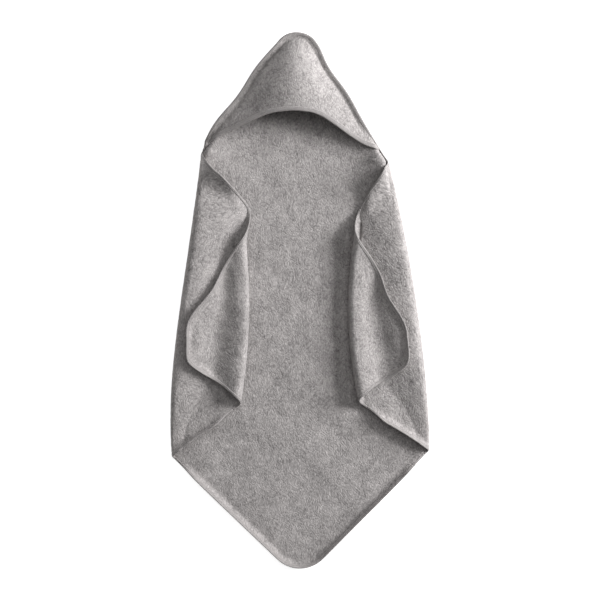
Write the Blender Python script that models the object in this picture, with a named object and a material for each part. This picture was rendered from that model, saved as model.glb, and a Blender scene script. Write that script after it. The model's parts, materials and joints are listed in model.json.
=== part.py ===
"""Hooded baby towel, laid out ready for use with both side corners folded in and back.

A square terry towel has a terry triangle sewn over one corner as a hood.  Tape binds the
edge all round and the hood's mouth, and a line of thread holds the tape.

Metres, +Z up.  The towel lies on z = 0, hood towards +Y, tail towards -Y.  Each piece is
first laid out flat, as one sheet with its neighbours, and is then bent over the fold lines.
"""

import math

import bmesh
import bpy
from mathutils import Vector

# The terry, the tape that wraps its edge, and the thread that holds the tape
TERRY = 0.0035
PRESSED = 0.0014  # terry squeezed inside the tape
TAPE_DEPTH = 0.0094
TAPE_WALL = 0.0006
GAP = 0.0003  # between pieces that touch
STEP = 0.0004  # length over which squeezed terry swells to its full thickness
THREAD = 0.0008
THREAD_INSET = 0.0072  # from the terry's edge in to the line of thread

# The sheet laid flat, seen from above: where its edges meet and how round its corners are
APEX = (-0.010, 0.567)
FOOT = (0.000, -0.567)
CORNER_RADIUS = 0.066
APEX_RADIUS = 0.036
ARC_STEPS = 8
# Across the sheet: the ends of the neck line, of the outer fold lines and of the inner ones
# on the folded wing, and the side corners
SIDES = {
    "left": {
        "neck": (-0.199, 0.304),
        "hem": (-0.258, -0.320),
        "corner": (-0.530, -0.040),
        "crease": ((-0.1075, 0.170), (-0.1095, -0.200)),
    },
    "right": {
        "neck": (0.175, 0.286),
        "hem": (0.258, -0.308),
        "corner": (0.509, -0.026),
        "crease": ((0.1035, 0.170), (0.1055, -0.200)),
    },
}
TAIL_LINE = -0.346
WING_ROLL = 0.0070  # radius of the half round at the middle of the sheet
TIP_ROLL = 0.0060
ROLL_STEPS = 8
FOLD_GAP = 0.0008  # between the pieces on the two sides of a fold line
TAIL_PIVOT = 0.0053  # height of the tail's fold line

# The curl that the tape gives to the edge
CURL_BEND = 0.015
TAIL_CURL = 0.42
TIP_CURL = 0.30
CURL_FADE = 0.070  # distance from a fold line over which the curl grows
FADE_STEPS = 4

# The hood: a rim where both layers meet in the tape, and a dome over the lower layer
RIM_RISE = 0.014
RIM_FADE = 0.090
RIM_TILT = 0.42
RIM_FALL = 0.060  # from the rim in to where the lower layer lies flat
DOME_RISE = 0.044
DOME_FACETS = (0, 0.003, 0.009, 0.018, 0.030, 0.045)
DOME_RIDGE = 0.42  # share of the width, from the left, at which the dome is highest
MOUTH_TOP = ((-0.060, 0.386), (0.029, 0.386))  # the corners of its raised middle
MOUTH_RADIUS = 0.060
MOUTH_END = 0.007  # its ends on the sewn sides, above the neck line's ends
MOUTH_CLEAR = 0.0015  # from where the dome starts to rise in to the ends of the mouth's tape
MOUTH_EASE = 0.0010  # between the mouth's tape and the terry it wraps
HOOD_GRID = 0.014

TERRY_GREY = (0.40, 0.37, 0.36, 1)
TAPE_GREY = (0.27, 0.25, 0.24, 1)
THREAD_GREY = (0.33, 0.31, 0.30, 1)

MIDDLE = TERRY / 2
SLOT = PRESSED / 2 + GAP
TAPE = SLOT + TAPE_WALL
LAYER = GAP  # from the middle of the rim to the nearest face of either layer
RIM_SLOT = LAYER + PRESSED + GAP
RIM_TAPE = RIM_SLOT + TAPE_WALL
RIM_LEVEL = TERRY + LAYER
HOOD_PIVOT = RIM_LEVEL + RIM_TAPE + GAP + THREAD  # nothing beside the neck line stands higher
BOUND_WIDTH = TAPE_DEPTH + 2 * GAP + STEP
DOME_START = BOUND_WIDTH + TERRY  # from the sewn edge in to where the dome starts to rise


def smooth(value):
    value = min(max(value, 0), 1)
    return value * value * (3 - 2 * value)


class Line:
    """A straight line on the plan and the side that counts as beyond it."""

    def __init__(self, start, end, beyond):
        self.start = Vector(start)
        self.along = (Vector(end) - self.start).normalized()
        side = Vector((self.along.y, -self.along.x))
        self.beyond = side if side.dot(Vector(beyond) - self.start) > 0 else -side

    def past(self, point):
        return (Vector(point[:2]) - self.start).dot(self.beyond)

    def moved(self, distance):
        shift = self.beyond * distance
        return Line(self.start + shift, self.start + shift + self.along, self.start + 2 * shift + self.beyond)


class Fold(Line):
    """A line where the sheet turns up and over in a half round, which bulges as far as the line."""

    def __init__(self, start, end, beyond, radius, level):
        super().__init__(start, end, beyond)
        self.radius = radius
        self.level = level
        self.length = math.pi * radius

    def bend(self, point):
        """The folded place of a point given in the sheet before this fold."""
        travel = self.past(point) + self.radius
        if travel <= 0:
            return point
        turn = min(travel, self.length) / self.radius
        arm = self.radius - (point.z - self.level)
        across = arm * math.sin(turn) - self.radius - max(travel - self.length, 0)
        plan = point.xy + self.beyond * (across - self.past(point))
        return Vector((*plan, self.level + self.radius - arm * math.cos(turn)))

    def laid_flat(self, point):
        """The place in the flat sheet of a plan point that lies past this fold."""
        across = self.past(point)
        return Vector(point) + self.beyond * (self.length - 2 * self.radius - 2 * across)

    def crest(self):
        """The line in the flat sheet that lies halfway round the bend."""
        return self.moved(self.length / 2 - self.radius)

    def facets(self):
        """Lines in the flat sheet between the flat facets of the bend."""
        step = self.length / ROLL_STEPS
        return [self.moved(step * i - self.radius) for i in range(ROLL_STEPS + 1)]


class Side:
    """The two folds of one side: the wing turns in over the middle, and its tip turns back out."""

    def __init__(self, name):
        self.name = name
        place = SIDES[name]
        self.neck = Vector(place["neck"])
        self.hem = Vector(place["hem"])
        self.corner = Vector(place["corner"])
        self.wing_fold = Fold(self.neck, self.hem, self.corner, WING_ROLL, MIDDLE)
        top, foot = place["crease"]
        level = MIDDLE + 2 * WING_ROLL
        self.tip_fold = Fold(top, foot, (0, 0), TIP_ROLL, level)
        top = self.wing_fold.laid_flat(top)
        foot = self.wing_fold.laid_flat(foot)
        self.tip_flat = Fold(top, foot, self.corner, TIP_ROLL, level)

    def folded(self, point):
        return self.tip_fold.bend(self.wing_fold.bend(point))

    def bends(self):
        return self.wing_fold.facets() + self.tip_flat.facets()


# ---- Outlines: corners as (x, y, kind of the edge that leaves it), counter-clockwise ----


def rounded(before, corner, after, radius, kind):
    """The points of an arc in place of the corner, with the kind of the edge that leaves each."""
    before, corner, after = Vector(before), Vector(corner), Vector(after)
    inward, outward = (before - corner).normalized(), (after - corner).normalized()
    half = inward.angle(outward) / 2
    centre = corner + (inward + outward).normalized() * radius / math.sin(half)
    first = corner + inward * radius / math.tan(half) - centre
    sweep = math.copysign(math.pi - 2 * half, (corner - before).cross(after - corner))
    points = []
    for i in range(ARC_STEPS + 1):
        turn = sweep * i / ARC_STEPS
        cos, sin = math.cos(turn), math.sin(turn)
        spoke = Vector((first.x * cos - first.y * sin, first.x * sin + first.y * cos))
        points.append((*(centre + spoke), kind))
    return points


def clipped(outline, line, kind="cut"):
    """The part of the outline that isn't beyond the line."""
    kept = []
    for (ax, ay, edge), (bx, by, _) in zip(outline, outline[1:] + outline[:1]):
        a, b = line.past((ax, ay)), line.past((bx, by))
        if a <= 0:
            kept.append((ax, ay, edge))
        if (a <= 0) != (b <= 0):
            share = a / (a - b)
            meets = (ax + (bx - ax) * share, ay + (by - ay) * share)
            kept.append((*meets, kind if a <= 0 else edge))
    return kept


def turned_round(line):
    return Line(line.start, line.start + line.along, line.start - line.beyond)


def inset(outline, distance, mouth=None):
    """The outline's corners after every sewn edge has moved in, a mouth edge by its own distance."""
    distances = {"cut": 0, "mouth": distance if mouth is None else mouth}
    moved = []
    for i, (x, y, kind) in enumerate(outline):
        before = outline[i - 1]
        after = outline[(i + 1) % len(outline)]
        sides = []
        for (ax, ay, edge), (bx, by, _) in ((before, outline[i]), (outline[i], after)):
            along = Vector((bx - ax, by - ay)).normalized()
            sides.append((Vector((-along.y, along.x)), distances.get(edge, distance)))
        (n, d), (m, e) = sides
        cross = n.x * m.y - n.y * m.x
        if abs(cross) < 1e-6:
            moved.append(Vector((x, y)) + n * d)
        else:
            moved.append(Vector((x + (d * m.y - e * n.y) / cross, y + (e * n.x - d * m.x) / cross)))
    return moved


def runs(outline, kind="bound"):
    """Each stretch of edges of this kind, as the indexes of its corners in order."""
    count = len(outline)
    starts = [i for i in range(count) if outline[i][2] == kind and outline[i - 1][2] != kind]
    found = []
    for start in starts:
        run = [start]
        while outline[run[-1] % count][2] == kind:
            run.append(run[-1] + 1)
        found.append([i % count for i in run])
    return found


def edge_distance(outline, kinds):
    """A function that gives a plan point's distance from the outline's edges of these kinds."""
    edges = []
    for (ax, ay, kind), (bx, by, _) in zip(outline, outline[1:] + outline[:1]):
        if kind in kinds:
            edges.append((Vector((ax, ay)), Vector((bx - ax, by - ay))))

    def distance(point):
        nearest = math.inf
        for start, side in edges:
            reach = Vector(point[:2]) - start
            share = min(max(reach.dot(side) / side.length_squared, 0), 1)
            nearest = min(nearest, (reach - side * share).length)
        return nearest

    return distance


# ---- Solids, made flat and then shaped ----


def plate(outline, levels):
    """A sheet of terry, squeezed along its sewn edges but not along a mouth.

    levels gives the low and high face of the squeezed terry and then of the full terry.
    """
    low, high, full_low, full_high = levels
    mesh = bmesh.new()
    insets = (BOUND_WIDTH, BOUND_WIDTH - STEP, GAP, GAP, BOUND_WIDTH - STEP, BOUND_WIDTH)
    rings = []
    for order, distance in enumerate(insets):
        level = (full_low, low, low, high, high, full_high)[order]
        rings.append([mesh.verts.new((*place, level)) for place in inset(outline, distance, mouth=GAP)])
    count = len(outline)
    for i, (_, _, kind) in enumerate(outline):
        j = (i + 1) % count
        if kind == "cut":
            mesh.faces.new([ring[j] for ring in rings] + [ring[i] for ring in reversed(rings)])
        else:
            for low, high in zip(rings, rings[1:]):
                mesh.faces.new((low[i], low[j], high[j], high[i]))
    mesh.faces.new(reversed(rings[0]))
    mesh.faces.new(rings[-1])
    return mesh


def strip(outline, run, profile):
    """A closed profile of (inset, level) points swept along a run of the outline's edges."""
    mesh = bmesh.new()
    places = [inset(outline, distance) for distance, _ in profile]
    stations = []
    for i in run:
        stations.append([mesh.verts.new((*ring[i], level)) for ring, (_, level) in zip(places, profile)])
    for near, far in zip(stations, stations[1:]):
        for k in range(len(profile)):
            mesh.faces.new((near[k - 1], near[k], far[k], far[k - 1]))
    mesh.faces.new(reversed(stations[0]))
    mesh.faces.new(stations[-1])
    return mesh


def tape_profile(slot, wall, level=0):
    """The tape folded round an edge, as seen from its end."""
    outer = slot + wall
    half = [(TAPE_DEPTH, outer), (-wall, outer), (-wall, -outer), (TAPE_DEPTH, -outer)]
    half += [(TAPE_DEPTH, -slot), (0, -slot), (0, slot), (TAPE_DEPTH, slot)]
    return [(distance, height + level) for distance, height in half]


def thread_profile(surface):
    """A thread that lies on the tape."""
    middle = surface + GAP + THREAD / 2
    turns = [math.tau * i / 6 for i in range(6)]
    return [(THREAD_INSET - THREAD / 2 * math.cos(t), middle + THREAD / 2 * math.sin(t)) for t in turns]


def finished(name, mesh, cuts, shape, colour, roughness, pivot):
    """Cuts the flat solid along the lines, bends it with the shape and hangs it on its pivot."""
    bmesh.ops.remove_doubles(mesh, verts=mesh.verts, dist=1e-6)
    for line in cuts:
        everything = mesh.verts[:] + mesh.edges[:] + mesh.faces[:]
        place = (*line.start, 0)
        bmesh.ops.bisect_plane(mesh, geom=everything, dist=2e-5, plane_co=place, plane_no=(*line.beyond, 0))
    bmesh.ops.remove_doubles(mesh, verts=mesh.verts, dist=1e-5)
    bmesh.ops.triangulate(mesh, faces=mesh.faces)
    for vertex in mesh.verts:
        vertex.co = shape(vertex.co)
    bmesh.ops.translate(mesh, verts=mesh.verts, vec=-pivot.matrix_world.translation)
    bmesh.ops.recalc_face_normals(mesh, faces=mesh.faces)
    data = bpy.data.meshes.new(name)
    mesh.to_mesh(data)
    mesh.free()
    data.shade_smooth()
    data.set_sharp_from_angle(angle=math.radians(40))
    material = bpy.data.materials.new(name)
    material.use_nodes = True
    shader = material.node_tree.nodes["Principled BSDF"]
    shader.inputs["Base Color"].default_value = colour
    shader.inputs["Roughness"].default_value = roughness
    shader.inputs["Metallic"].default_value = 0
    data.materials.append(material)
    piece = bpy.data.objects.new(name, data)
    bpy.context.collection.objects.link(piece)
    piece.parent = pivot
    return piece


def terry(name, mesh, cuts, shape, pivot):
    return finished(name, mesh, cuts, shape, TERRY_GREY, 0.95, pivot)


def tape(name, mesh, cuts, shape, pivot):
    return finished(name, mesh, cuts, shape, TAPE_GREY, 0.8, pivot)


def thread(name, mesh, cuts, shape, pivot):
    return finished(name, mesh, cuts, shape, THREAD_GREY, 0.7, pivot)


def pivot_at(name, place, parent=None):
    """An empty on a fold line, which carries the pieces that turn about it."""
    pivot = bpy.data.objects.new(name, None)
    pivot.empty_display_size = 0.03
    bpy.context.collection.objects.link(pivot)
    pivot.location = place
    if parent:
        pivot.parent = parent
        pivot.location = place - parent.matrix_world.translation
    bpy.context.view_layer.update()
    return pivot


# ---- The towel's own lines ----

LEFT, RIGHT = Side("left"), Side("right")
NECK = Line(LEFT.neck, RIGHT.neck, APEX)
TAIL = Line((LEFT.hem.x, TAIL_LINE), (RIGHT.hem.x, TAIL_LINE), FOOT)
FLAT_LEVELS = (-PRESSED / 2, PRESSED / 2, -TERRY / 2, TERRY / 2)
FLAT_TAPE = tape_profile(SLOT, TAPE_WALL)
OUTER_THREAD = thread_profile(TAPE)
# A wing shows its outer face, so its thread lies on the side that is underneath in the flat sheet
WING_THREAD = [(distance, -level) for distance, level in reversed(OUTER_THREAD)]


def body_outline():
    left, right = LEFT, RIGHT
    outline = [(*right.neck, "cut"), (*left.neck, "bound")]
    outline += rounded(left.neck, left.corner, left.hem, CORNER_RADIUS, "bound")
    outline += [(*left.hem, "bound")]
    outline += rounded(left.hem, FOOT, right.hem, CORNER_RADIUS, "bound")
    outline += [(*right.hem, "bound")]
    outline += rounded(right.hem, right.corner, right.neck, CORNER_RADIUS, "bound")
    return outline


def curled(outline, slope, fold):
    """A shape that lifts the bound edge, less and less towards the fold line."""
    distance = edge_distance(outline, ("bound",))

    def lift(point):
        inward = distance(point)
        base = max(BOUND_WIDTH + CURL_BEND - max(inward, BOUND_WIDTH), 0)
        rise = base * base / (2 * CURL_BEND) + max(BOUND_WIDTH - inward, 0)
        fade = smooth(fold.past(point) / CURL_FADE)
        return Vector((point.x, point.y, point.z + MIDDLE + slope * rise * fade))

    return lift


def flat(point):
    return Vector((point.x, point.y, point.z + MIDDLE))


def curl_lines(outline):
    """Lines beside the straight bound edges, between which the curl is cut into facets."""
    lines = []
    for (ax, ay, kind), (bx, by, _) in zip(outline, outline[1:] + outline[:1]):
        along = Vector((bx - ax, by - ay))
        if kind == "bound" and along.length > 3 * CORNER_RADIUS / ARC_STEPS:
            inward = Vector((-along.y, along.x)).normalized()
            edge = Line((ax, ay), (bx, by), Vector((ax, ay)) + inward)
            lines += [edge.moved(BOUND_WIDTH + CURL_BEND * share) for share in (0.5, 1)]
    return lines


def fade_lines(fold):
    """Lines along a fold, between which the growing curl is cut into facets."""
    return [fold.moved(CURL_FADE * i / FADE_STEPS) for i in range(1, FADE_STEPS + 1)]


def make_middle(outline, pivot):
    for side in (LEFT, RIGHT):
        outline = clipped(outline, side.wing_fold.crest().moved(-FOLD_GAP / 2))
    outline = clipped(outline, TAIL.moved(-FOLD_GAP / 2))
    outline = clipped(outline, NECK.moved(-FOLD_GAP / 2))
    # Above the middle of the towel the sheet's edge is only the start of a roll, and has no tape
    outline = [(x, y, "cut" if y > 0 else kind) for x, y, kind in outline]

    def shape(point):
        return RIGHT.wing_fold.bend(LEFT.wing_fold.bend(flat(point)))

    cuts = LEFT.wing_fold.facets() + RIGHT.wing_fold.facets()
    terry("centre_panel", plate(outline, FLAT_LEVELS), cuts, shape, pivot)
    for run in runs(outline):
        side = "left" if outline[run[0]][0] < 0 else "right"
        tape(f"centre_binding_{side}", strip(outline, run, FLAT_TAPE), cuts, shape, pivot)
        thread(f"centre_stitching_{side}", strip(outline, run, OUTER_THREAD), cuts, shape, pivot)


def make_wing(outline, side, pivot):
    outline = clipped(outline, turned_round(side.wing_fold.crest().moved(FOLD_GAP / 2)))
    outline = clipped(outline, side.tip_flat.crest().moved(-FOLD_GAP / 2))

    def shape(point):
        return side.folded(flat(point))

    terry(f"wing_panel_{side.name}", plate(outline, FLAT_LEVELS), side.bends(), shape, pivot)
    for run in runs(outline):
        where = "upper" if outline[run[0]][1] > side.corner.y else "lower"
        name = f"{where}_{{}}_{side.name}"
        mesh = strip(outline, run, FLAT_TAPE)
        tape("wing_" + name.format("binding"), mesh, side.bends(), shape, pivot)
        mesh = strip(outline, run, WING_THREAD)
        thread("wing_" + name.format("stitching"), mesh, side.bends(), shape, pivot)


def make_tip(outline, side, pivot):
    crest = side.tip_flat.crest()
    outline = clipped(outline, turned_round(crest.moved(FOLD_GAP / 2)))
    fold = side.tip_flat.moved(side.tip_flat.length)
    lifted = curled(outline, TIP_CURL, fold)

    def shape(point):
        return side.folded(lifted(point))

    cuts = side.tip_flat.facets() + curl_lines(outline) + fade_lines(fold)
    (run,) = runs(outline)
    terry(f"tip_panel_{side.name}", plate(outline, FLAT_LEVELS), cuts, shape, pivot)
    tape(f"tip_binding_{side.name}", strip(outline, run, FLAT_TAPE), cuts, shape, pivot)
    thread(f"tip_stitching_{side.name}", strip(outline, run, OUTER_THREAD), cuts, shape, pivot)


def make_tail(outline, pivot):
    outline = clipped(outline, turned_round(TAIL.moved(FOLD_GAP / 2)))
    shape = curled(outline, TAIL_CURL, TAIL)
    cuts = curl_lines(outline) + fade_lines(TAIL)
    (run,) = runs(outline)
    terry("tail_panel", plate(outline, FLAT_LEVELS), cuts, shape, pivot)
    tape("tail_binding", strip(outline, run, FLAT_TAPE), cuts, shape, pivot)
    thread("tail_stitching", strip(outline, run, OUTER_THREAD), cuts, shape, pivot)


# ---- The hood ----


def hood_outline():
    """The hood's lower layer: the neck line and the two sewn sides."""
    start = NECK.moved(FOLD_GAP / 2)
    outline = [(*RIGHT.neck, "bound")]
    outline += rounded(RIGHT.neck, APEX, LEFT.neck, APEX_RADIUS, "bound")
    outline += [(*LEFT.neck, "cut")]
    return clipped(outline, turned_round(start))


def front_outline():
    """The hood's upper layer: its mouth and the two sewn sides."""
    ends = []
    for side in (LEFT, RIGHT):
        seam = (Vector(APEX) - side.neck).normalized()
        ends.append(side.neck + seam * MOUTH_END / seam.dot(NECK.beyond))
    left, right = ends
    first, last = MOUTH_TOP
    outline = [(*left, "mouth")]
    outline += rounded(left, first, last, MOUTH_RADIUS, "mouth")
    outline += rounded(first, last, right, MOUTH_RADIUS, "mouth")
    outline += [(*right, "seam")]
    outline += rounded(RIGHT.neck, APEX, LEFT.neck, APEX_RADIUS, "seam")
    return outline


class Hood:
    """The heights of the hood's two layers over the plan."""

    def __init__(self, outline):
        self.inward = edge_distance(outline, ("bound",))
        pairs = ((LEFT, RIGHT), (RIGHT, LEFT))
        self.seams = [turned_round(Line(side.neck, APEX, other.neck)) for side, other in pairs]
        self.crown = max(y for _, y, _ in outline) - DOME_START

    def rim(self, point):
        """The middle of the rim's two layers, carried level across the hood."""
        up = smooth(NECK.past(point) / RIM_FADE)
        tilt = RIM_TILT * up * max(BOUND_WIDTH - self.inward(point), 0)
        return RIM_LEVEL + RIM_RISE * up + tilt

    def lower(self, point):
        fall = smooth((self.inward(point) - BOUND_WIDTH) / RIM_FALL)
        return self.rim(point) * (1 - fall) + RIM_LEVEL * fall

    def upper(self, point):
        return self.rim(point) + self.dome(point)

    def dome(self, point):
        """The bulge of the upper layer: it grows from the crown to the mouth."""
        widths = []
        for seam in self.seams:
            widths.append(max(-seam.past(point) - DOME_START, 0))
        left, right = widths
        if left + right == 0:
            return 0
        share = (left / (left + right)) ** (math.log(0.5) / math.log(DOME_RIDGE))
        grown = min(max((self.crown - point.y) / (self.crown - MOUTH_TOP[0][1]), 0), 1)
        return DOME_RISE * 4 * share * (1 - share) * math.sin(grown * math.pi / 2) ** 0.8

    def shaped(self, height):
        """A shape that stands a point off the layer's middle, square to it."""
        reach = 0.002

        def shape(point):
            x, y, level = point
            east = height(Vector((x + reach, y))) - height(Vector((x - reach, y)))
            north = height(Vector((x, y + reach))) - height(Vector((x, y - reach)))
            normal = Vector((-east, -north, 2 * reach)).normalized()
            return Vector((x, y, height(Vector((x, y))))) + normal * level

        return shape


def make_hood(pivot):
    back, front = hood_outline(), front_outline()
    hood = Hood(back)
    right_x, left_x = RIGHT.neck.x, LEFT.neck.x
    columns = round((right_x - left_x) / HOOD_GRID)
    rows = round((APEX[1] - RIGHT.neck.y) / HOOD_GRID)
    cuts = []
    for i in range(1, columns):
        x = left_x + (right_x - left_x) * i / columns
        cuts.append(Line((x, 0), (x, 1), (x + 1, 0)))
    for i in range(1, rows):
        y = RIGHT.neck.y + (APEX[1] - RIGHT.neck.y) * i / rows
        cuts.append(Line((0, y), (1, y), (0, y + 1)))

    lower, upper = hood.shaped(hood.lower), hood.shaped(hood.upper)

    def squeezed(point):
        """The upper layer's shape, thinned inside the tape round the edge."""
        if hood.inward(point) < BOUND_WIDTH - STEP / 2:
            point = Vector((point.x, point.y, min(point.z, LAYER + PRESSED)))
        return upper(point)

    levels = (-LAYER - PRESSED, -LAYER, -LAYER - TERRY, -LAYER)
    terry("hood_back_panel", plate(back, levels), cuts, lower, pivot)
    rises = [edge.moved(-DOME_START - width) for edge in hood.seams for width in DOME_FACETS]
    steps = [edge.moved(-width) for edge in hood.seams for width in (BOUND_WIDTH - STEP, BOUND_WIDTH)]
    mesh = plate(front, (LAYER, LAYER + TERRY) * 2)
    terry("hood_front_panel", mesh, cuts + rises + steps, squeezed, pivot)

    (run,) = runs(back)
    rim_tape = tape_profile(RIM_SLOT, TAPE_WALL)
    tape("hood_edge_binding", strip(back, run, rim_tape), cuts, hood.shaped(hood.rim), pivot)
    rim_thread = thread_profile(RIM_TAPE)
    thread("hood_edge_stitching", strip(back, run, rim_thread), cuts, hood.shaped(hood.rim), pivot)

    for edge in hood.seams:
        front = clipped(front, edge.moved(-DOME_START - MOUTH_CLEAR))
    (run,) = runs(front, "mouth")
    middle, slot = LAYER + TERRY / 2, TERRY / 2 + MOUTH_EASE
    mouth_tape = tape_profile(slot, TAPE_WALL, middle)
    tape("hood_mouth_binding", strip(front, run, mouth_tape), cuts + rises, upper, pivot)
    mouth_thread = thread_profile(middle + slot + TAPE_WALL)
    thread("hood_mouth_stitching", strip(front, run, mouth_thread), cuts + rises, upper, pivot)


def fold_axis(fold):
    """A point on the line that a fold turns about, which keeps the sheet's length when it opens."""
    place = fold.start + fold.beyond * (fold.length / 2 - fold.radius)
    return Vector((*place, fold.level + fold.radius))


def main():
    for old in list(bpy.data.objects):
        bpy.data.objects.remove(old)
    towel = pivot_at("towel", Vector((0, 0, 0)))
    outline = body_outline()
    make_middle(outline, towel)
    make_hood(pivot_at("neck_line", Vector((*NECK.start, HOOD_PIVOT)), towel))
    make_tail(outline, pivot_at("tail_line", Vector((*TAIL.start, TAIL_PIVOT)), towel))
    for side in (LEFT, RIGHT):
        wing = pivot_at(f"wing_line_{side.name}", fold_axis(side.wing_fold), towel)
        tip = pivot_at(f"tip_line_{side.name}", fold_axis(side.tip_fold), wing)
        make_wing(outline, side, wing)
        make_tip(outline, side, tip)


main()
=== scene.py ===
"""The hooded baby towel as cloth: looped terry, taped and stitched edges, soft folds.

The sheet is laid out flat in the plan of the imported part, with its fold lines taken from the
part's joints, and every piece is bent from that one sheet, so that neighbours always meet.
Metres, +Z up, hood towards +Y.
"""

import json
import math
from collections import Counter

import bpy
import numpy as np
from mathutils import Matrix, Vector


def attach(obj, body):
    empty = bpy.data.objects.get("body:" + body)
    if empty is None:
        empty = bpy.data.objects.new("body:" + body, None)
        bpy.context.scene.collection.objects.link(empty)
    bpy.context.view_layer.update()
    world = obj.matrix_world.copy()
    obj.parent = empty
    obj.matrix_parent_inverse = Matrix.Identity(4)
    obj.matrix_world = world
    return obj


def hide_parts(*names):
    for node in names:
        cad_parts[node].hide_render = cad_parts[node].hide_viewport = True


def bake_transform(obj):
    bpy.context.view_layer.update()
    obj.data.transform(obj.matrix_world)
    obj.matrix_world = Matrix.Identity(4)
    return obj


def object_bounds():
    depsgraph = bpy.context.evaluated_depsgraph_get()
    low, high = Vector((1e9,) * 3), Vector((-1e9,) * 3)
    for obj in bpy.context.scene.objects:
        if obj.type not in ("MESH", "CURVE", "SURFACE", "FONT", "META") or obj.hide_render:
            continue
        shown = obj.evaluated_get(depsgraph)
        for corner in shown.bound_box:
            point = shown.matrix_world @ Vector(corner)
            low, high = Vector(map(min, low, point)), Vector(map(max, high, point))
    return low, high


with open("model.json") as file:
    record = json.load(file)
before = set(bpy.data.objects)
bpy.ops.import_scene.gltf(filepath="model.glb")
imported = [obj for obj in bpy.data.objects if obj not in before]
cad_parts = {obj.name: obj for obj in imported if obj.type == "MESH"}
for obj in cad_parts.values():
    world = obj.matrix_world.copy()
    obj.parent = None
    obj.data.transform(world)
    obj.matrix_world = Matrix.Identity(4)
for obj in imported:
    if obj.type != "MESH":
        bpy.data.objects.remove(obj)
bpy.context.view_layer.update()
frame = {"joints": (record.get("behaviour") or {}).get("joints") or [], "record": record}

# The cloth
TERRY = 0.0035
PRESSED = 0.0008  # half the thickness of terry inside the tape
MIDDLE = TERRY / 2
LAYER = 0.0003
RIM_LEVEL = TERRY + LAYER
GRID = 0.003
HALF_WIDTH = 0.262  # a little more than half the folded towel's width
TERRY_INSET = 0.002  # from the tape's outer edge in to the hidden edge of the terry

# Corners of the flat sheet, on its plan, and how round each one is
CORNERS = {
    "left": (-0.530, -0.040),
    "right": (0.509, -0.026),
    "apex": (-0.010, 0.567),
    "foot": (0.000, -0.567),
}
HEMS = {"left": (-0.258, -0.320), "right": (0.258, -0.308)}
ROUND = 0.066
APEX_ROUND = 0.036
APEX_SET_BACK = 0.029  # from the apex's sharp corner back to where the hood's height is counted from
EASY_ROUND = 0.10

# The tape round the edge
TAPE_PLAN = 0.0048  # how wide it looks from above, because it stands on its edge
TAPE_TOP = 0.0017  # from the middle of the sheet to the tape's face
RIM_TOP = 0.0034  # the same round the hood's two layers
MOUTH_TAPE = 0.0085  # width of the tape over the hood's mouth
MOUTH_TOP_FACE = TERRY / 2 + 0.0009
EDGE_SLOPE = 1.45  # how steeply the edge stands up
EDGE_BEND = 0.009  # width of the cloth's bend beside the tape
WIDE_BEND = 0.018  # how much wider the bend is near the neck

# Soft folds: radius in the middle and at the ends, and how the cloth settles beyond them
WING_RADIUS = (0.0035, 0.0132, 0.0040)
TIP_RADIUS = (0.0170, 0.0100, 0.0130)
WING_REST = 0.0108
WING_FALL = 0.078
TIP_REST = 0.0050
TIP_FALL = 0.055
SQUEEZE = 0.080  # how far each side of a soft fold gives up cloth to it
WING_BOW = {"left": (0.0155, 1.9, 0.80), "right": (0.0170, 1.15, 0.65)}  # reach, lateness, bluntness
TIP_BOW = {"left": (0.0035, 0.0110), "right": (0.0065, 0.0120)}  # inwards at its middle, outwards at its ends

# The hood
RIM_RISE = 0.014
RIM_FADE = 0.090
RIM_TILT = 0.50
RIM_FALL = 0.060
DOME_START = 0.0110
DOME_RISE = 0.044
DOME_RIDGE = 0.51
DOME_TURN = 2.12
NECK_LIFT = {"left": 0.012, "right": 0.024}
NECK_REACH = 0.048
MOUTH_TOP = 0.386
MOUTH = (
    (-0.215, 0.298),
    (-0.189, 0.311),
    (-0.137, 0.337),
    (-0.099, 0.358),
    (-0.062, 0.374),
    (-0.013, 0.379),
    (0.031, 0.374),
    (0.066, 0.353),
    (0.100, 0.330),
    (0.131, 0.311),
    (0.158, 0.304),
    (0.190, 0.300),
)

# Where soft cloth has been drawn aside once folded: (place, shift, reach) in the plan
WING_PULLS = {
    "left": (((-0.151, 0.213), (0.022, -0.002), 0.055), ((-0.125, 0.188), (0.016, 0.004), 0.045)),
    "right": (((0.142, 0.203), (-0.018, -0.007), 0.045),),
}
TIP_PULLS = {
    "left": (((-0.254, -0.080), (0.026, -0.004), 0.050), ((-0.209, 0.017), (0.020, 0.000), 0.060)),
    "right": (((0.250, -0.080), (-0.031, 0.000), 0.055), ((0.205, 0.001), (-0.026, 0.000), 0.060)),
}
HOOD_PULLS = (
    ((-0.170, 0.356), (-0.011, 0.003), 0.060),
    ((-0.090, 0.470), (-0.008, 0.003), 0.060),
    ((0.035, 0.520), (0.010, 0.003), 0.040),
    ((0.095, 0.420), (0.005, 0.002), 0.050),
)


def smooth(value):
    value = np.clip(value, 0, 1)
    return value * value * (3 - 2 * value)


def pulled(place, pulls, share=1.0):
    """Places moved by soft pulls, each strongest at its own place."""
    moved = place.copy()
    for centre, shift, reach in pulls:
        weight = np.exp(-(((place - centre) / reach) ** 2).sum(1)) * share
        moved += weight[:, None] * shift
    return moved


def unit(vector):
    return np.asarray(vector, float) / np.linalg.norm(vector)


class Noise:
    """Smooth noise from a fixed table, about -1 to 1, with features the size of 1."""

    def __init__(self, seed):
        self.table = np.random.default_rng(seed).uniform(-1, 1, (128, 128))

    def __call__(self, x, y):
        ix, iy = np.floor(x).astype(int), np.floor(y).astype(int)
        fx, fy = smooth(x - ix), smooth(y - iy)
        low = self.table[ix % 128, iy % 128] * (1 - fx) + self.table[(ix + 1) % 128, iy % 128] * fx
        iy = iy + 1
        high = self.table[ix % 128, iy % 128] * (1 - fx) + self.table[(ix + 1) % 128, iy % 128] * fx
        return low * (1 - fy) + high * fy


SOFT, PILE, PUCKER = (Noise(seed) for seed in (5, 8, 13))
JOINTS = {joint["name"]: joint for joint in frame["joints"]}


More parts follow.
